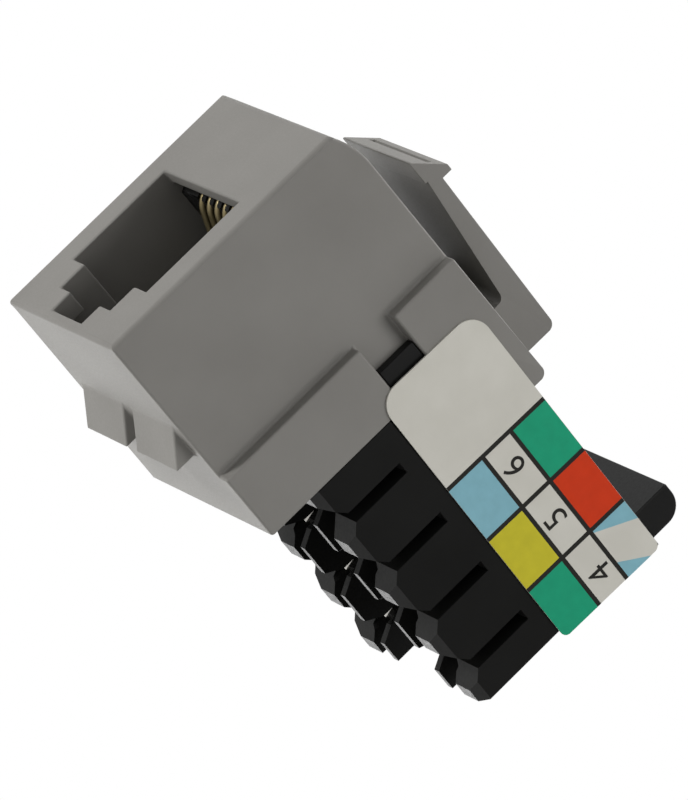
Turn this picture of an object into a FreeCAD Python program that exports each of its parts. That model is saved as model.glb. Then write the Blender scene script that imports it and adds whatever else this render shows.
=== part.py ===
# Snap-in modular jack for a wall plate: six-position plug port in front, punch-down block behind.
# Millimetres. +Y runs from the port face to the rear, +Z up towards the latch.
# The origin is the centre of the port face, and the jack is the same on both sides apart from its label.
import FreeCAD, Part
import math
import os

# Port body, which passes through the panel
body_width = 14.0
body_height = 16.0
front_rounding = 0.3
ramp_length = 2.9  # crowned slope on top, from the port face up to the collar's height

# Plug opening, with the plug's clip downwards
plug_width = 9.9
plug_height = 6.8
plug_top = 2.55  # ceiling above the port centre
plug_depth = 12.4
front_wall = 1.4
clip_width = 6.75
clip_drop = 1.8
clip_room = 7.6  # pocket behind the front wall where the clip snaps out
thumb_width = 4.0
thumb_drop = 1.35

# Collar behind the panel: one long ear over one short ear on each side, with a window between
panel_depth = 9.6  # port face to the collar's front
collar_step = 0.9  # how far the ears stand out from the body's sides
collar_rise = 0.9
short_ear_length = 4.15
long_ear_length = 8.6
window_low = 1.9
window_height = 2.56
window_setback = 1.85  # collar front to the front end of the snap arm
hood_wall = 1.3
hood_top_wall = 2.3
hood_rounding = 0.5

# Lip under the body that hooks the panel, in two blocks
lip_front = 6.05
lip_length = 2.08
lip_height = 1.36
lip_width = 12.2
lip_gap = 1.3

# Latch lever on top, on a knuckle sunk in the collar
latch_width = 8.6
latch_reach = 11.0  # hinge axis to the lever's nose
hinge_setback = 1.6  # hinge axis to the long ear's rear end
hinge_depth = 0.55  # hinge axis below the collar's top
hinge_clearance = 0.04
knuckle_radius = 1.05
neck_width = 1.5
root_length = 3.2
root_height = 2.8  # above the collar's top
lever_gap = 1.5  # collar's top to the lever's underside, at the root
lever_lift = 0.8  # rise of the underside from the root to the head
lever_rise = 0.3  # rise of the upper face from the root to the head
latch_turn = 12.0  # degrees that the lever's root has room to turn
head_nose = 0.12
head_ramp = 1.5  # run and rise of the ramp, at 45 degrees
head_flat = 0.4
grip_length = 7.4
grip_width = 0.4
grip_depth = 0.3
root_fillet = 0.45
head_undercut = 1.45  # length of the head's underside
head_drop = 0.15  # head's underside below the lever's
root_rounding = 0.5

# Punch-down block behind the housing
seam_height = 0.8  # where the cover meets the tower block
cover_top = 7.75
cover_overhang = 0.5
flange_thickness = 1.8
flange_height = 2.35
flange_rounding = 1.2
arm_thickness = 0.7
fit = 0.05  # gap between seated mouldings
solder_room = 0.5  # cover's ceiling above the board

# Towers: two rows, each crossed by wire slots
row_inner = 3.2  # half the channel between the rows
tower_base = 1.1
tower_height = 4.75
slot_count = 4
slot_pitch = 3.7
slot_width = 0.7
first_slot = 2.45  # block's front face to the first slot
last_wall = 2.2  # last slot to the block's rear face
funnel_height = 0.95
outer_tip = 0.95
inner_tip = 1.9
tip_bevel_run = 0.9  # lead-in bevel along the rows' outer edges
tip_bevel_rise = 0.45
trough_width = 1.5
trough_depth = 1.5
inner_wall = 0.55

# Punch-down contacts, in the last three slots of each row and turned to the slots
contact_turn = 45.0
idc_width = 2.2
idc_thickness = 0.4
idc_tip_setback = 1.3  # contact's tips above the towers' tips
idc_wire_gap = 0.3
idc_wire_gap_length = 2.2
idc_mouth = 1.2
idc_mouth_height = 0.7
idc_stem_width = 0.8
idc_shoulder = 0.55  # contact's shoulder below the tower base
idc_stem_tip = 0.3  # stem's end above the board

# Spring wires over the plug opening
wire_count = 6
wire_pitch = 1.02
wire_diameter = 0.45
wire_bend = 1.0
wire_slope = 20.0
wire_reach = 6.5  # length of the sloping run
wire_nose = 1.6  # centre of the front bend behind the port face, past half the bend
tail_setback = 1.4  # body's rear face to the tails on the board

# Carrier under the wires
wire_window = 0.9  # port face to the front edge of the wires' window in the plug opening's ceiling
rib_height = 0.48
groove_width = 0.55

# Board between the cover and the tower block
board_thickness = 1.2
board_width = 13.0
board_margin = 0.8  # last slot to the board's rear end

# Printed label on the +X side
label_thickness = 0.12
label_height = 7.15
label_lap = 1.3  # label's front end forward of the housing's rear end
label_tilt = 1.0  # degrees that the label is stuck askew, front end up
label_rounding = 1.3
label_rear_rounding = 0.4

# Modelling values
overcut = 1.0  # how far a cutting tool runs past a face
tiny = 1e-6

# Places that follow from the sizes above
half_body = body_width / 2
half_height = body_height / 2
half_collar = half_body + collar_step
collar_top = half_height + collar_rise
body_rear = panel_depth + short_ear_length
hood_rear = panel_depth + long_ear_length
window_high = window_low + window_height
window_front = panel_depth + window_setback
hood_half = half_collar - hood_wall
hood_ceiling = collar_top - hood_top_wall
plug_floor = plug_top - plug_height
clip_floor = plug_floor - clip_drop
thumb_floor = clip_floor - thumb_drop
hinge_y = hood_rear - hinge_setback
hinge_z = collar_top - hinge_depth
slot_places = [body_rear + first_slot + slot_pitch * i for i in range(slot_count)]
contact_slots = slot_places[1:]
block_rear = slot_places[-1] + last_wall
cover_rear = block_rear + cover_overhang
tower_foot = seam_height - tower_base
tower_tip = tower_foot - tower_height
trough_middle = row_inner + inner_wall + trough_width / 2
board_front = body_rear + fit
board_rear = slot_places[-1] + board_margin
board_top = seam_height + board_thickness
wire_radius = wire_diameter / 2
nose_y = wire_nose + wire_bend
nose_z = plug_top + wire_bend - wire_radius
wire_top = nose_z + wire_bend
tail_y = body_rear + tail_setback
wire_places = [wire_pitch * (i - (wire_count - 1) / 2) for i in range(wire_count)]
carrier_half = plug_width / 2 - fit
carrier_floor = nose_z - wire_bend + wire_radius
carrier_top = wire_top - wire_radius + rib_height
label_front = body_rear - label_lap
label_middle = (seam_height + cover_top) / 2
V = FreeCAD.Vector


def block(x0, x1, y0, y1, z0, z1):
    return Part.makeBox(x1 - x0, y1 - y0, z1 - z0, V(x0, y0, z0))


def wide_block(half_width, y0, y1, z0, z1):
    return block(-half_width, half_width, y0, y1, z0, z1)


def outline(points):
    return Part.Face(Part.makePolygon(points + points[:1]))


def side_profile(points, x0, x1):
    return outline([V(x0, y, z) for y, z in points]).extrude(V(x1 - x0, 0, 0))


def front_profile(points, y0, y1):
    return outline([V(x, y0, z) for x, z in points]).extrude(V(0, y1 - y0, 0))


def mirrored(shape):
    return shape.mirror(V(0, 0, 0), V(1, 0, 0))


def both_sides(shape):
    return [shape, mirrored(shape)]


def fused(shapes):
    return shapes[0].multiFuse(shapes[1:]).removeSplitter()


def edges_where(shape, wanted):
    return [edge for edge in shape.Edges if wanted(edge.BoundBox)]


def cross_edges(shape, y, z):
    return edges_where(
        shape,
        lambda box: box.YLength + box.ZLength < tiny and abs(box.YMin - y) + abs(box.ZMin - z) < tiny,
    )


def plug_cavity():
    main = wide_block(plug_width / 2, -overcut, plug_depth, plug_floor, plug_top)
    clip = wide_block(clip_width / 2, -overcut, front_wall + clip_room, clip_floor, plug_floor)
    thumb = wide_block(thumb_width / 2, -overcut, front_wall, thumb_floor, clip_floor)
    catch = wide_block(clip_width / 2, front_wall, front_wall + clip_room, thumb_floor, clip_floor)
    return fused([main, clip, thumb, catch])


def panel_lip():
    ramp = [
        (lip_front, -half_height),
        (lip_front + lip_length, -half_height),
        (lip_front + lip_length, -half_height - lip_height),
    ]
    return both_sides(side_profile(ramp, lip_gap / 2, lip_width / 2))


def hinge_trough():
    half = latch_width / 2 + hinge_clearance
    start = V(-half, hinge_y, hinge_z)
    return Part.makeCylinder(knuckle_radius + hinge_clearance, 2 * half, start, V(1, 0, 0))


def port_body():
    crown = (ramp_length**2 + collar_rise**2) / (2 * collar_rise)  # radius that ends level at the top
    half_turn = math.asin(ramp_length / crown) / 2
    x = -half_body
    low_front = V(x, 0, -half_height)
    low_rear = V(x, body_rear, -half_height)
    top_rear = V(x, body_rear, collar_top)
    crest = V(x, ramp_length, collar_top)
    run = crown * math.sin(half_turn)
    fall = crown * (1 - math.cos(half_turn))
    on_ramp = V(x, ramp_length - run, collar_top - fall)
    top_front = V(x, 0, half_height)
    edges = [
        Part.LineSegment(low_front, low_rear).toShape(),
        Part.LineSegment(low_rear, top_rear).toShape(),
        Part.LineSegment(top_rear, crest).toShape(),
        Part.Arc(crest, on_ramp, top_front).toShape(),
        Part.LineSegment(top_front, low_front).toShape(),
    ]
    return Part.Face(Part.Wire(edges)).extrude(V(body_width, 0, 0))


def housing():
    body = port_body()
    front = edges_where(body, lambda box: box.YMax < tiny)
    body = body.makeFillet(front_rounding, front)
    short_ear = wide_block(half_collar, panel_depth, body_rear, -half_height, window_low)
    long_ear = wide_block(half_collar, panel_depth, hood_rear, window_high, collar_top)
    long_ear = long_ear.makeFillet(hood_rounding, cross_edges(long_ear, hood_rear, collar_top))
    hood = wide_block(hood_half, body_rear, hood_rear, window_high, hood_ceiling)
    carrier_room = wide_block(
        carrier_half + fit, wire_window, body_rear, plug_top, carrier_top + fit
    )
    whole = fused([body, short_ear, long_ear] + panel_lip())
    whole = whole.cut([hood, plug_cavity(), carrier_room, hinge_trough()])
    return whole.removeSplitter()


def top_latch():
    nose = hinge_y - latch_reach
    root_front = hinge_y - root_length / 2
    root_rear = hinge_y + root_length / 2
    under_root = collar_top + lever_gap
    under_lever = under_root + lever_lift
    under_head = under_lever - head_drop
    upper_root = collar_top + root_height
    upper_head = upper_root + lever_rise
    head_top = under_head + head_nose + head_ramp
    ledge = nose + head_ramp + head_flat
    turn_room = (root_length / 2) * math.tan(math.radians(latch_turn)) + hinge_clearance
    profile = [
        (nose, under_head),
        (nose, under_head + head_nose),
        (nose + head_ramp, head_top),
        (ledge, head_top),
        (ledge, upper_head),
        (root_rear, upper_root),
        (root_rear, collar_top + hinge_clearance),
        (hinge_y + neck_width / 2, collar_top + hinge_clearance),
        (hinge_y + neck_width / 2, hinge_z),
        (hinge_y - neck_width / 2, hinge_z),
        (hinge_y - neck_width / 2, collar_top + turn_room),
        (root_front, collar_top + turn_room),
        (root_front, under_root),
        (nose + head_undercut, under_lever),
        (nose + head_undercut, under_head),
    ]
    half = latch_width / 2
    lever = side_profile(profile, -half, half)
    lever = lever.makeFillet(root_fillet, cross_edges(lever, root_front, under_root))
    lever = lever.makeFillet(root_rounding, cross_edges(lever, root_rear, upper_root))
    knuckle = Part.makeCylinder(knuckle_radius, latch_width, V(-half, hinge_y, hinge_z), V(1, 0, 0))
    grip = block(-grip_length / 2, grip_length / 2, -grip_depth, grip_depth, -grip_width, 0)
    grip.rotate(V(0, 0, 0), V(1, 0, 0), -45)
    grip.translate(V(0, nose + head_ramp - grip_width, head_top - grip_width))
    return lever.fuse(knuckle).cut(grip).removeSplitter()


def rear_cover():
    upper = wide_block(half_collar, hood_rear, cover_rear, seam_height, cover_top)
    lower = wide_block(half_collar, body_rear, hood_rear, seam_height, window_high - fit)
    nose = wide_block(hood_half - fit, body_rear, hood_rear, seam_height, hood_ceiling - fit)
    flange = wide_block(
        half_collar, block_rear - flange_thickness, block_rear, cover_top, cover_top + flange_height
    )
    flange = flange.makeFillet(flange_rounding, cross_edges(flange, block_rear, cover_top + flange_height))
    arm_inner = half_body + fit
    arm_outer = half_body + arm_thickness
    arm = block(arm_inner, arm_outer, window_front, body_rear, window_low + fit, window_high - fit)
    board_ceiling = board_top + solder_room
    board_room = wide_block(board_width / 2 + fit, body_rear, board_rear + fit, seam_height, board_ceiling)
    tail_room = wide_block(
        carrier_half + fit, body_rear, tail_y + wire_diameter, seam_height, carrier_top + fit
    )
    whole = fused([upper, lower, nose, flange] + both_sides(arm))
    return whole.cut([board_room, tail_room]).removeSplitter()


def wire_slot(place, tip_width, x0, x1):
    half = slot_width / 2
    mouth = (slot_pitch - tip_width) / 2
    profile = [
        (place - half, tower_foot),
        (place - half, tower_tip + funnel_height),
        (place - mouth, tower_tip),
        (place + mouth, tower_tip),
        (place + half, tower_tip + funnel_height),
        (place + half, tower_foot),
    ]
    return side_profile(profile, x0, x1)


def turned_to_slot(shape, place):
    shape.rotate(V(0, 0, 0), V(0, 0, 1), contact_turn)
    shape.translate(V(trough_middle, place, 0))
    return shape


def contact_room(place):
    half_width = idc_width / 2 + fit
    half_thick = idc_thickness / 2 + fit
    half_stem = idc_stem_width / 2 + fit
    shoulder = tower_foot - idc_shoulder + fit
    blade = block(-half_width, half_width, -half_thick, half_thick, tower_tip, shoulder)
    stem = block(-half_stem, half_stem, -half_thick, half_thick, shoulder, seam_height)
    return turned_to_slot(blade.fuse(stem), place)


def tower_block():
    base = wide_block(half_collar, body_rear, block_rear, tower_foot, seam_height)
    row = block(row_inner, half_collar, body_rear, block_rear, tower_tip, tower_foot)
    trough_inner = row_inner + inner_wall
    trough_outer = trough_inner + trough_width
    trough_top = tower_tip + trough_depth
    cuts = [block(trough_inner, trough_outer, body_rear, block_rear, tower_tip, trough_top)]
    for place in slot_places:
        cuts.append(wire_slot(place, outer_tip, trough_middle, half_collar))
        cuts.append(wire_slot(place, inner_tip, row_inner, trough_middle))
    bevel = [
        (half_collar - tip_bevel_run, tower_tip),
        (half_collar, tower_tip),
        (half_collar, tower_tip + tip_bevel_rise),
    ]
    cuts.append(front_profile(bevel, body_rear, block_rear))
    row = row.cut(cuts)
    whole = fused([base] + both_sides(row))
    rooms = [contact_room(place) for place in contact_slots]
    return whole.cut(rooms + [mirrored(room) for room in rooms]).removeSplitter()


def idc_contact(place):
    tip = tower_tip + idc_tip_setback
    shoulder = tower_foot - idc_shoulder
    half = idc_width / 2
    gap = idc_wire_gap / 2
    mouth = idc_mouth / 2
    stem = idc_stem_width / 2
    profile = [
        (-half, tip + idc_mouth_height / 2),
        (-mouth, tip),
        (-gap, tip + idc_mouth_height),
        (-gap, tip + idc_wire_gap_length),
        (gap, tip + idc_wire_gap_length),
        (gap, tip + idc_mouth_height),
        (mouth, tip),
        (half, tip + idc_mouth_height / 2),
        (half, shoulder),
        (stem, shoulder),
        (stem, board_top + idc_stem_tip),
        (-stem, board_top + idc_stem_tip),
        (-stem, shoulder),
        (-half, shoulder),
    ]
    return turned_to_slot(front_profile(profile, -idc_thickness / 2, idc_thickness / 2), place)


def rod(start, end):
    run = end.sub(start)
    return Part.makeCylinder(wire_radius, run.Length, start, run)


def bend(start, tangent, centre, angle):
    section = Part.Face(Part.Wire([Part.makeCircle(wire_radius, start, tangent)]))
    return section.revolve(centre, V(1, 0, 0), angle)


def square_bend(corner):
    back = V(0, wire_radius, 0)
    up = V(0, 0, wire_radius)
    return rod(corner - back, corner + back).common(rod(corner - up, corner + up))


def spring_contact(x):
    slope = math.radians(wire_slope)
    down_slope = V(0, math.cos(slope), -math.sin(slope))
    tail = V(x, tail_y, board_top)
    tail_corner = V(x, tail_y, wire_top)
    top_front = V(x, nose_y, wire_top)
    nose_centre = V(x, nose_y, nose_z)
    nose_end = V(x, nose_y - wire_bend * math.sin(slope), nose_z - wire_bend * math.cos(slope))
    return fused(
        [
            rod(tail, tail_corner),
            square_bend(tail_corner),
            rod(tail_corner, top_front),
            bend(top_front, V(0, -1, 0), nose_centre, 180 - wire_slope),
            rod(nose_end, nose_end + down_slope * wire_reach),
        ]
    )


def carrier_profile(nose_radius, top, x0, x1):
    rear = body_rear - fit
    bar = block(x0, x1, nose_y, rear, carrier_floor, top)
    nose = Part.makeCylinder(nose_radius, x1 - x0, V(x0, nose_y, nose_z), V(1, 0, 0))
    below = 2 * nose_radius
    under = block(x0 - overcut, x1 + overcut, nose_y - below, rear, nose_z - below, carrier_floor)
    return bar.fuse(nose).cut(under).removeSplitter()


def contact_carrier():
    core_radius = wire_bend - wire_radius - fit
    core = carrier_profile(core_radius, nose_z + core_radius, -carrier_half, carrier_half)
    edges = [-carrier_half]
    for x in wire_places:
        edges += [x - groove_width / 2, x + groove_width / 2]
    edges.append(carrier_half)
    ribs = [
        carrier_profile(carrier_top - nose_z, carrier_top, edges[i], edges[i + 1])
        for i in range(0, len(edges), 2)
    ]
    return fused([core] + ribs)


def circuit_board():
    board = wide_block(board_width / 2, board_front, board_rear, seam_height, board_top)
    half_stem = idc_stem_width / 2 + fit
    half_thick = idc_thickness / 2 + fit
    slots = [
        turned_to_slot(block(-half_stem, half_stem, -half_thick, half_thick, seam_height, board_top), place)
        for place in contact_slots
    ]
    return board.cut(slots + [mirrored(slot) for slot in slots])


def wiring_label():
    low = label_middle - label_height / 2
    high = label_middle + label_height / 2
    label = block(half_collar, half_collar + label_thickness, label_front, cover_rear, low, high)
    front = edges_where(label, lambda box: box.YMax < label_front + tiny and box.ZLength < tiny)
    rear = edges_where(label, lambda box: box.YMin > cover_rear - tiny and box.ZLength < tiny)
    label = label.makeFillet(label_rounding, front)
    label = label.makeFillet(label_rear_rounding, rear)
    label.rotate(V(half_collar, (label_front + cover_rear) / 2, label_middle), V(1, 0, 0), -label_tilt)
    return label


def all_parts():
    parts = {
        "housing": housing(),
        "top_latch": top_latch(),
        "rear_cover": rear_cover(),
        "tower_block": tower_block(),
        "contact_carrier": contact_carrier(),
        "circuit_board": circuit_board(),
        "wiring_label": wiring_label(),
    }
    for i, x in enumerate(wire_places):
        parts[f"spring_contact_{i + 1}"] = spring_contact(x)
    contacts = [idc_contact(place) for place in contact_slots]
    contacts += [mirrored(contact) for contact in contacts]
    for i, contact in enumerate(contacts):
        parts[f"idc_contact_{i + 1}"] = contact
    return parts


os.makedirs("parts", exist_ok=True)
for name, shape in all_parts().items():
    shape.exportStep(f"parts/{name}.step")
    state = "valid" if shape.isValid() else "invalid"
    print(name, len(shape.Solids), "solid", round(shape.Volume, 2), "mm3", state)
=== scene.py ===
import math

import bmesh
import bpy
from mathutils import Matrix, Vector


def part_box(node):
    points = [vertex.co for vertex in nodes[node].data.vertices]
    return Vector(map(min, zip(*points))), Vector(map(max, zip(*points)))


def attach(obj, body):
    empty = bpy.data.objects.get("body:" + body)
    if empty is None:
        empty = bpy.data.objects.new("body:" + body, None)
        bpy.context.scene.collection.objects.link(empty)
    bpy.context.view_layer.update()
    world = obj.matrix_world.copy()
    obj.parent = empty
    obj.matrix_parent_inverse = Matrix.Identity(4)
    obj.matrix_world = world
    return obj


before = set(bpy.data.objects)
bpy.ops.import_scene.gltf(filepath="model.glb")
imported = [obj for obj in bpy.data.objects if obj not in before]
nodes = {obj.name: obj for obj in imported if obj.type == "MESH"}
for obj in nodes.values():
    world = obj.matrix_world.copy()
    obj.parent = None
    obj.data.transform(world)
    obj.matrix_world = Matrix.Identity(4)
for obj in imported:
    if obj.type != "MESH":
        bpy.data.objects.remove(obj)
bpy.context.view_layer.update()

mm = 0.001
springWires = [name for name in nodes if name.startswith("spring_contact")]
cutBlades = [name for name in nodes if name.startswith("idc_contact")]
print("frame loaded:", len(nodes), "pieces")


# Materials. Every pattern sits on Object coordinates, in metres.
noiseSettings = {
    "mottleDetail": 3.0,
    "grainDetail": 4.0,
    "low": 0.3,  # the noise mostly lies between low and high
    "high": 0.7,
}
evenStretch = (1.0, 1.0, 1.0)


def newMaterial(name):
    material = bpy.data.materials.new(name)
    material.use_nodes = True
    tree = material.node_tree
    return material, tree, tree.nodes["Principled BSDF"]


def addNoise(tree, scale, detail, stretch):
    place = tree.nodes.new("ShaderNodeTexCoord")
    mapping = tree.nodes.new("ShaderNodeMapping")
    mapping.inputs["Scale"].default_value = stretch
    noise = tree.nodes.new("ShaderNodeTexNoise")
    noise.inputs["Scale"].default_value = scale
    noise.inputs["Detail"].default_value = detail
    tree.links.new(place.outputs["Object"], mapping.inputs["Vector"])
    tree.links.new(mapping.outputs["Vector"], noise.inputs["Vector"])
    return noise.outputs["Fac"]


def mixColours(tree, factor, first, second):
    mix = tree.nodes.new("ShaderNodeMix")
    mix.data_type = "RGBA"
    mix.inputs["A"].default_value = (*first, 1.0)
    mix.inputs["B"].default_value = (*second, 1.0)
    tree.links.new(factor, mix.inputs["Factor"])
    return mix.outputs["Result"]


def spread(tree, factor, low, high):
    ranged = tree.nodes.new("ShaderNodeMapRange")
    ranged.inputs["From Min"].default_value = noiseSettings["low"]
    ranged.inputs["From Max"].default_value = noiseSettings["high"]
    ranged.inputs["To Min"].default_value = low
    ranged.inputs["To Max"].default_value = high
    tree.links.new(factor, ranged.inputs["Value"])
    return ranged.outputs["Result"]


def addBump(tree, shader, height, depth, strength):
    bump = tree.nodes.new("ShaderNodeBump")
    bump.inputs["Distance"].default_value = depth
    bump.inputs["Strength"].default_value = strength
    tree.links.new(height, bump.inputs["Height"])
    tree.links.new(bump.outputs["Normal"], shader.inputs["Normal"])


def surfaceFinish(finish):
    material, tree, shader = newMaterial(finish["name"])
    clouds = addNoise(tree, finish["mottle"], noiseSettings["mottleDetail"], evenStretch)
    colour = mixColours(tree, spread(tree, clouds, 0.0, 1.0), finish["dark"], finish["pale"])
    tree.links.new(colour, shader.inputs["Base Color"])
    grain = addNoise(tree, finish["grain"], noiseSettings["grainDetail"], finish.get("stretch", evenStretch))
    tree.links.new(spread(tree, grain, *finish["roughness"]), shader.inputs["Roughness"])
    addBump(tree, shader, grain, finish["depth"], finish["strength"])
    shader.inputs["Metallic"].default_value = finish.get("metallic", 0.0)
    shader.inputs["Specular IOR Level"].default_value = finish.get("specular", 0.5)
    return material


greyMoulding = {
    "name": "grey_moulding",
    "dark": (0.188, 0.181, 0.168),
    "pale": (0.212, 0.205, 0.191),
    "mottle": 160.0,
    "grain": 6500.0,
    "roughness": (0.5, 0.62),
    "depth": 0.00002,
    "strength": 0.18,
    "specular": 0.25,
}
towerMoulding = {
    "name": "tower_moulding",
    "dark": (0.0088, 0.0088, 0.0084),
    "pale": (0.0115, 0.0115, 0.011),
    "mottle": 220.0,
    "grain": 5200.0,
    "roughness": (0.3, 0.42),
    "depth": 0.00002,
    "strength": 0.12,
    "specular": 0.035,
}
coverMoulding = {  # the rear cover is a glossier black than the towers
    "name": "cover_moulding",
    "dark": (0.0055, 0.0055, 0.0053),
    "pale": (0.0075, 0.0075, 0.0072),
    "mottle": 220.0,
    "grain": 5200.0,
    "roughness": (0.3, 0.42),
    "depth": 0.00002,
    "strength": 0.12,
    "specular": 0.085,
}
boardMask = {
    "name": "board_mask",
    "dark": (0.006, 0.05, 0.02),
    "pale": (0.012, 0.085, 0.035),
    "mottle": 900.0,
    "grain": 4000.0,
    "roughness": (0.25, 0.4),
    "depth": 0.00001,
    "strength": 0.2,
}
# Painted shade: the gold is kept far darker than real gold plate, standing in for the shade of the plug
# cavity that the spring wires sit in
goldPlateWithPaintedShade = {
    "name": "gold_plate_painted_shade",
    "dark": (0.15, 0.122, 0.064),
    "pale": (0.21, 0.174, 0.096),
    "mottle": 700.0,
    "grain": 3000.0,
    "stretch": (8.0, 1.0, 1.0),
    "roughness": (0.42, 0.56),
    "depth": 0.000005,
    "strength": 0.15,
    "metallic": 1.0,
}
tinPlate = {
    "name": "tin_plate",
    "dark": (0.3, 0.29, 0.27),
    "pale": (0.42, 0.41, 0.385),
    "mottle": 1200.0,
    "grain": 4200.0,
    "stretch": (1.0, 1.0, 0.2),
    "roughness": (0.28, 0.45),
    "depth": 0.000005,
    "strength": 0.25,
    "metallic": 1.0,
}
labelPaper = {
    "name": "label_paper",
    "dark": (0.57, 0.555, 0.5),
    "pale": (0.615, 0.6, 0.545),
    "mottle": 420.0,
    "grain": 5200.0,
    "stretch": (1.0, 0.25, 1.0),
    "roughness": (0.5, 0.62),
    "depth": 0.000006,
    "strength": 0.25,
    "specular": 0.12,
}
finishOf = {
    "housing": greyMoulding,
    "top_latch": greyMoulding,
    "rear_cover": coverMoulding,
    "tower_block": towerMoulding,
    "contact_carrier": towerMoulding,
    "circuit_board": boardMask,
    "wiring_label": labelPaper,
}
finishOf.update({name: goldPlateWithPaintedShade for name in springWires})
finishOf.update({name: tinPlate for name in cutBlades})
madeFinishes = {}
for name, finish in finishOf.items():
    if finish["name"] not in madeFinishes:
        madeFinishes[finish["name"]] = surfaceFinish(finish)
    slots = nodes[name].data.materials
    slots.clear()
    slots.append(madeFinishes[finish["name"]])
print("finishes:", len(madeFinishes))


# Moulded and stamped edges are never knife sharp: each CAD piece gets a small rounded edge.
edgeRounding = {  # mm: width of the rounding, and the shortest edge that takes it
    "housing": (0.14, 0.12),
    "top_latch": (0.05, 0.12),
    "rear_cover": (0.08, 0.12),
    "tower_block": (0.1, 5.0),
    "contact_carrier": (0.05, 0.6),
    "circuit_board": (0.03, 0.12),
}
edgeRounding.update({name: (0.03, 0.12) for name in cutBlades})
edgeSettings = {
    "segments": 3,
    "weld": 0.0000005,  # metres
    "flatAngle": 0.5,  # degrees, below which faces are joined
    "sharpAngle": 25.0,  # degrees, above which an edge counts as sharp
    "flatWeight": 75,  # how much the large faces keep their own shading
}


def edgeChoice(shortest):
    group = bpy.data.node_groups.new("edge_choice", "GeometryNodeTree")
    for way in ("INPUT", "OUTPUT"):
        group.interface.new_socket("Geometry", in_out=way, socket_type="NodeSocketGeometry")
    start = group.nodes.new("NodeGroupInput")
    fold = group.nodes.new("GeometryNodeInputMeshEdgeAngle")
    ends = group.nodes.new("GeometryNodeInputMeshEdgeVertices")
    span = group.nodes.new("ShaderNodeVectorMath")
    span.operation = "DISTANCE"
    group.links.new(ends.outputs["Position 1"], span.inputs[0])
    group.links.new(ends.outputs["Position 2"], span.inputs[1])
    tests = []
    limits = (
        (fold.outputs["Unsigned Angle"], math.radians(edgeSettings["sharpAngle"])),
        (span.outputs["Value"], shortest * mm),
    )
    for measure, least in limits:
        over = group.nodes.new("FunctionNodeCompare")
        over.inputs[1].default_value = least
        group.links.new(measure, over.inputs[0])
        tests.append(over.outputs["Result"])
    chosen = group.nodes.new("FunctionNodeBooleanMath")  # sharp and long: rounded
    softOrLong = group.nodes.new("FunctionNodeBooleanMath")  # sharp but short edges stay hard
    softOrLong.operation = "IMPLY"
    for choice in (chosen, softOrLong):
        for place, test in enumerate(tests):
            group.links.new(test, choice.inputs[place])
    mark = group.nodes.new("GeometryNodeStoreNamedAttribute")
    mark.domain = "EDGE"
    mark.inputs["Name"].default_value = "bevel_weight_edge"
    group.links.new(chosen.outputs["Boolean"], mark.inputs["Value"])
    smoothEdges = group.nodes.new("GeometryNodeSetShadeSmooth")
    smoothEdges.domain = "EDGE"
    group.links.new(softOrLong.outputs["Boolean"], smoothEdges.inputs["Shade Smooth"])
    smoothFaces = group.nodes.new("GeometryNodeSetShadeSmooth")
    steps = (start, mark, smoothEdges, smoothFaces, group.nodes.new("NodeGroupOutput"))
    for step, after in zip(steps, steps[1:]):
        group.links.new(step.outputs["Geometry"], after.inputs["Geometry"])
    return group


def softenEdges(piece, width, shortest):
    weld = piece.modifiers.new("weld", "WELD")
    weld.merge_threshold = edgeSettings["weld"]
    flat = piece.modifiers.new("flat", "DECIMATE")
    flat.decimate_type = "DISSOLVE"
    flat.angle_limit = math.radians(edgeSettings["flatAngle"])
    choice = piece.modifiers.new("choice", "NODES")
    choice.node_group = edgeChoice(shortest)
    rounding = piece.modifiers.new("rounding", "BEVEL")
    rounding.width = width * mm
    rounding.segments = edgeSettings["segments"]
    rounding.limit_method = "WEIGHT"
    rounding.use_clamp_overlap = False
    close = piece.modifiers.new("close", "WELD")  # where a rounding ends it leaves doubles
    close.merge_threshold = edgeSettings["weld"]
    shading = piece.modifiers.new("shading", "WEIGHTED_NORMAL")
    shading.weight = edgeSettings["flatWeight"]
    shading.keep_sharp = True


for name, (width, shortest) in edgeRounding.items():
    softenEdges(nodes[name], width, shortest)
print("rounded edges:", len(edgeRounding))


# Print on the label: colour fields, grid lines and digits, as thin ink on the film. Lengths are in mm.
labelPrint = {
    "tilt": 1.0,  # degrees, front end up, as the label is stuck
    "length": 17.55,
    "height": 7.15,
    "columns": (-2.295, 1.455, 5.225),  # grid lines along the label, from its middle
    "rows": (-1.0, 1.07),  # grid lines across it
    "line": 0.25,
    "ink": 0.008,  # thickness
    "lift": 0.002,
    "rearRounding": 0.4,
    "cornerAngles": (22.5, 45.0, 67.5),  # cuts that round the rear corners, in degrees
    "frontStripe": (5.75, 1.8, 64.0),  # a point on the stripe's border and its lean in degrees
    "rearStripe": (7.69, 1.23, 56.7),
    "digitHeight": 1.35,
    "digits": {"6": (-0.6, 0.0), "5": (3.28, 0.03), "4": (7.45, 0.1)},
    "cutDistance": 0.000001,
    "mergeDistance": 0.00001,
}
inkColours = {
    "ink_line": (0.012, 0.011, 0.009),
    "ink_green": (0.011, 0.325, 0.175),
    "ink_red": (0.6, 0.04, 0.007),
    "ink_blue": (0.225, 0.455, 0.535),
    "ink_yellow": (0.56, 0.5, 0.03),
}
inkFinish = {
    "shade": 0.92,  # darkest share of the colour
    "mottle": 1500.0,
    "grain": 5200.0,
    "stretch": (1.0, 0.25, 1.0),
    "roughness": (0.45, 0.6),
    "depth": 0.000004,
    "strength": 0.2,
    "specular": 0.12,
}


def makeInk(name, colour):
    dark = tuple(inkFinish["shade"] * part for part in colour)
    return surfaceFinish({**inkFinish, "name": name, "dark": dark, "pale": colour})


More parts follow.
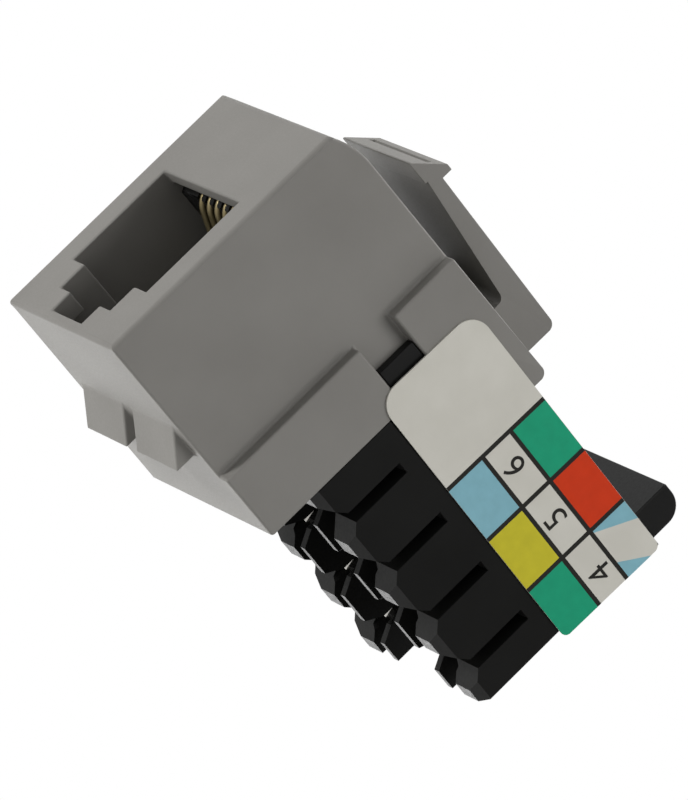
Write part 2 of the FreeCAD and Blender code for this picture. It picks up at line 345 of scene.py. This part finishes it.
inkNames = list(inkColours)
inks = [makeInk(name, colour) for name, colour in inkColours.items()]
labelLow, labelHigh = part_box("wiring_label")
labelMiddle = (labelLow + labelHigh) / 2
labelFace = Vector((labelHigh.x + labelPrint["lift"] * mm, labelMiddle.y, labelMiddle.z))
labelTurn = Matrix.Rotation(math.radians(-labelPrint["tilt"]), 4, "X")
onLabel = Matrix.Translation(labelFace) @ labelTurn


def trimField(bm, faces, place, normal):
    edges = {edge for face in faces for edge in face.edges}
    verts = {vert for face in faces for vert in face.verts}
    cut = bmesh.ops.bisect_plane(
        bm,
        geom=[*verts, *edges, *faces],
        dist=labelPrint["cutDistance"] * mm,
        plane_co=(0, place[0] * mm, place[1] * mm),
        plane_no=(0, *normal),
        clear_outer=True,
    )
    return [part for part in cut["geom"] if isinstance(part, bmesh.types.BMFace)]


def addField(bm, low, high, ink, trims=()):
    made = bmesh.ops.create_grid(bm, x_segments=1, y_segments=1, size=0.5)["verts"]
    toSide = Matrix(((0, 0, 1, 0), (1, 0, 0, 0), (0, 1, 0, 0), (0, 0, 0, 1)))
    size = Matrix.Diagonal((1, (high[0] - low[0]) * mm, (high[1] - low[1]) * mm, 1))
    place = Matrix.Translation((0, (low[0] + high[0]) / 2 * mm, (low[1] + high[1]) / 2 * mm))
    bmesh.ops.transform(bm, matrix=place @ size @ toSide, verts=made)
    faces = list({face for vert in made for face in vert.link_faces})
    for trim in trims:
        faces = trimField(bm, faces, *trim)
    for face in faces:
        face.material_index = inkNames.index(ink)


def roundedCorner(corner, side):
    radius = labelPrint["rearRounding"]
    centre = (corner[0] - radius, corner[1] - side * radius)
    trims = []
    for angle in labelPrint["cornerAngles"]:
        normal = (math.cos(math.radians(angle)), side * math.sin(math.radians(angle)))
        trims.append(((centre[0] + radius * normal[0], centre[1] + radius * normal[1]), normal))
    return trims


def stripeEdge(stripe, side):
    lean = math.radians(stripe[2])
    return (stripe[:2], (side * math.sin(lean), -side * math.cos(lean)))


def newPiece(name, bm, materials, body):
    mesh = bpy.data.meshes.new(name)
    bm.to_mesh(mesh)
    bm.free()
    for material in materials:
        mesh.materials.append(material)
    piece = bpy.data.objects.new(name, mesh)
    bpy.context.scene.collection.objects.link(piece)
    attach(piece, body)
    return piece


def makePrint():
    halfLine = labelPrint["line"] / 2
    rear = labelPrint["length"] / 2
    top = labelPrint["height"] / 2
    columns = labelPrint["columns"]
    lowRow, highRow = labelPrint["rows"]
    cells = [(start + halfLine, end - halfLine) for start, end in zip(columns, columns[1:])]
    cells.append((columns[-1] + halfLine, rear))
    upper = (highRow + halfLine, top)
    lower = (-top, lowRow - halfLine)
    topCorner = roundedCorner((rear, top), 1)
    lowCorner = roundedCorner((rear, -top), -1)
    bm = bmesh.new()
    for cell, ink in zip(cells, ("ink_green", "ink_red")):
        addField(bm, (cell[0], upper[0]), (cell[1], upper[1]), ink)
    for cell, ink, trims in zip(cells, ("ink_blue", "ink_yellow", "ink_green"), ((), (), lowCorner)):
        addField(bm, (cell[0], lower[0]), (cell[1], lower[1]), ink, trims)
    striped = ((cells[-1][0], upper[0]), (cells[-1][1], upper[1]))
    addField(bm, *striped, "ink_blue", [stripeEdge(labelPrint["frontStripe"], 1)])
    addField(bm, *striped, "ink_blue", [stripeEdge(labelPrint["rearStripe"], -1), *topCorner])
    for column in columns:
        addField(bm, (column - halfLine, -top), (column + halfLine, top), "ink_line")
    for row in labelPrint["rows"]:
        for cell in cells:
            addField(bm, (cell[0], row - halfLine), (cell[1], row + halfLine), "ink_line")
    bmesh.ops.recalc_face_normals(bm, faces=bm.faces)
    bmesh.ops.solidify(bm, geom=bm.faces[:], thickness=labelPrint["ink"] * mm)
    bmesh.ops.transform(bm, matrix=onLabel, verts=bm.verts)
    return newPiece("label_fields", bm, inks, "jack")


def makeDigits():
    bm = bmesh.new()
    upsideDown = Matrix(((0, 0, 1, 0), (-1, 0, 0, 0), (0, -1, 0, 0), (0, 0, 0, 1)))
    for digit, place in labelPrint["digits"].items():
        curve = bpy.data.curves.new("digit", "FONT")
        curve.body = digit
        curve.extrude = labelPrint["ink"] / 2
        text = bpy.data.objects.new("digit", curve)
        mesh = bpy.data.meshes.new_from_object(text)
        low = Vector([min(vert.co[axis] for vert in mesh.vertices) for axis in range(3)])
        high = Vector([max(vert.co[axis] for vert in mesh.vertices) for axis in range(3)])
        scale = labelPrint["digitHeight"] * mm / (high.y - low.y)
        thin = labelPrint["ink"] * mm / (high.z - low.z)
        mesh.transform(Matrix.Translation(-(low + high) / 2))
        mesh.transform(Matrix.Diagonal((scale, scale, thin, 1)))
        spot = Matrix.Translation((0, place[0] * mm, place[1] * mm))
        mesh.transform(onLabel @ spot @ upsideDown)
        bm.from_mesh(mesh)
        bpy.data.objects.remove(text)
        bpy.data.curves.remove(curve)
        bpy.data.meshes.remove(mesh)
    bmesh.ops.remove_doubles(bm, verts=bm.verts, dist=labelPrint["mergeDistance"] * mm)
    return newPiece("label_digits", bm, [inks[inkNames.index("ink_line")]], "jack")


fields = makePrint()
digits = makeDigits()
print("label print:", len(fields.data.polygons), "faces,", len(labelPrint["digits"]), "digits")


# Camera, on the photograph's line of sight; 688 x 800 frame
cameraSettings = {
    "azimuth": 65.2,
    "elevation": -10.4,
    "roll": 45.6,
    "distance": 0.5,
    "target": (-0.0002, 0.01475, 0.0012),
    "pixelsPerMm": 18.8,
    "frameHeight": 800,
    "sensor": 36.0,
    "clip": (0.01, 20.0),
}


def makeCamera(settings):
    azimuth = math.radians(settings["azimuth"])
    elevation = math.radians(settings["elevation"])
    roll = math.radians(settings["roll"])
    back = Vector(
        (
            math.sin(azimuth) * math.cos(elevation),
            -math.cos(azimuth) * math.cos(elevation),
            math.sin(elevation),
        )
    )
    level = Vector((math.cos(azimuth), math.sin(azimuth), 0))
    upright = back.cross(level)
    right = math.cos(roll) * level + math.sin(roll) * upright
    up = math.cos(roll) * upright - math.sin(roll) * level
    data = bpy.data.cameras.new("camera")
    data.sensor_width = settings["sensor"]
    perMetre = settings["pixelsPerMm"] / mm
    data.lens = perMetre * settings["distance"] * settings["sensor"] / settings["frameHeight"]
    data.clip_start, data.clip_end = settings["clip"]
    camera = bpy.data.objects.new("camera", data)
    place = Vector(settings["target"]) + back * settings["distance"]
    camera.matrix_world = Matrix.Translation(place) @ Matrix((right, up, back)).transposed().to_4x4()
    bpy.context.scene.collection.objects.link(camera)
    bpy.context.scene.camera = camera


makeCamera(cameraSettings)


# Floor and soft studio light
studio = {
    "floorDrop": 0.22,
    "floorSize": 8.0,
    "floorCells": 4,
    "floorColour": (0.55, 0.55, 0.54),
    "floorRoughness": 0.9,
    "worldFill": 0.4,
    "floorGlow": 1.24,  # times floorShare, so that the floor meets the white world with no seam
    "floorShare": 0.75,  # white share of the floor that the camera sees, the rest is shaded
}
lamps = {  # square lamps aimed at the jack, in metres and watts
    "key_front": {"place": (-0.06, -0.24, -0.092), "size": 0.035, "watts": 0.41},
    "high_front": {"place": (-0.1, -0.25, 0.25), "size": 0.2, "watts": 0.42},
    "under_soft": {"place": (-0.04, 0.03, -0.19), "size": 0.15, "watts": 0.14},
    "fill_side": {"place": (0.28, 0.05, 0.19), "size": 0.2, "watts": 0.57},
    "rim_rear": {"place": (-0.27, 0.15, -0.05), "size": 0.15, "watts": 0.16},
    "top_soft": {"place": (-0.12, 0.26, 0.28), "size": 0.3, "watts": 0.9},
}


def seenRays(tree):
    path = tree.nodes.new("ShaderNodeLightPath")
    total = path.outputs["Is Camera Ray"]
    for kind in ("Is Glossy Ray", "Is Transmission Ray"):
        more = tree.nodes.new("ShaderNodeMath")
        more.operation = "MAXIMUM"
        tree.links.new(total, more.inputs[0])
        tree.links.new(path.outputs[kind], more.inputs[1])
        total = more.outputs[0]
    return total


def makeWorld():
    world = bpy.data.worlds.new("studio")
    world.use_nodes = True
    tree = world.node_tree
    background = tree.nodes["Background"]
    background.inputs["Color"].default_value = (1, 1, 1, 1)
    strength = tree.nodes.new("ShaderNodeMapRange")
    strength.inputs["To Min"].default_value = studio["worldFill"]
    strength.inputs["To Max"].default_value = 1.0
    tree.links.new(seenRays(tree), strength.inputs["Value"])
    tree.links.new(strength.outputs["Result"], background.inputs["Strength"])
    bpy.context.scene.world = world


def makeFloor():
    material, tree, shader = newMaterial("pale_floor")
    shader.inputs["Base Color"].default_value = (*studio["floorColour"], 1)
    shader.inputs["Roughness"].default_value = studio["floorRoughness"]
    white = tree.nodes.new("ShaderNodeEmission")
    white.inputs["Color"].default_value = (1, 1, 1, 1)
    white.inputs["Strength"].default_value = studio["floorGlow"]
    share = tree.nodes.new("ShaderNodeMath")
    share.operation = "MULTIPLY"
    share.inputs[1].default_value = studio["floorShare"]
    tree.links.new(seenRays(tree), share.inputs[0])
    mix = tree.nodes.new("ShaderNodeMixShader")
    tree.links.new(share.outputs[0], mix.inputs["Fac"])
    tree.links.new(shader.outputs["BSDF"], mix.inputs[1])
    tree.links.new(white.outputs["Emission"], mix.inputs[2])
    tree.links.new(mix.outputs["Shader"], tree.nodes["Material Output"].inputs["Surface"])
    bm = bmesh.new()
    cells = studio["floorCells"]
    bmesh.ops.create_grid(bm, x_segments=cells, y_segments=cells, size=studio["floorSize"] / 2)
    bmesh.ops.translate(bm, vec=(0, 0, -studio["floorDrop"]), verts=bm.verts)
    mesh = bpy.data.meshes.new("floor")
    bm.to_mesh(mesh)
    bm.free()
    mesh.materials.append(material)
    floor = bpy.data.objects.new("floor", mesh)
    bpy.context.scene.collection.objects.link(floor)


def makeLamp(name, lamp):
    data = bpy.data.lights.new(name, "AREA")
    data.size = lamp["size"]
    data.energy = lamp["watts"]
    light = bpy.data.objects.new(name, data)
    light.location = lamp["place"]
    aim = Vector(cameraSettings["target"]) - light.location
    light.rotation_euler = aim.to_track_quat("-Z", "Y").to_euler()
    bpy.context.scene.collection.objects.link(light)


makeWorld()
makeFloor()
for name, lamp in lamps.items():
    makeLamp(name, lamp)
bpy.context.scene.view_settings.view_transform = "Standard"
print("studio:", len(lamps), "lamps")
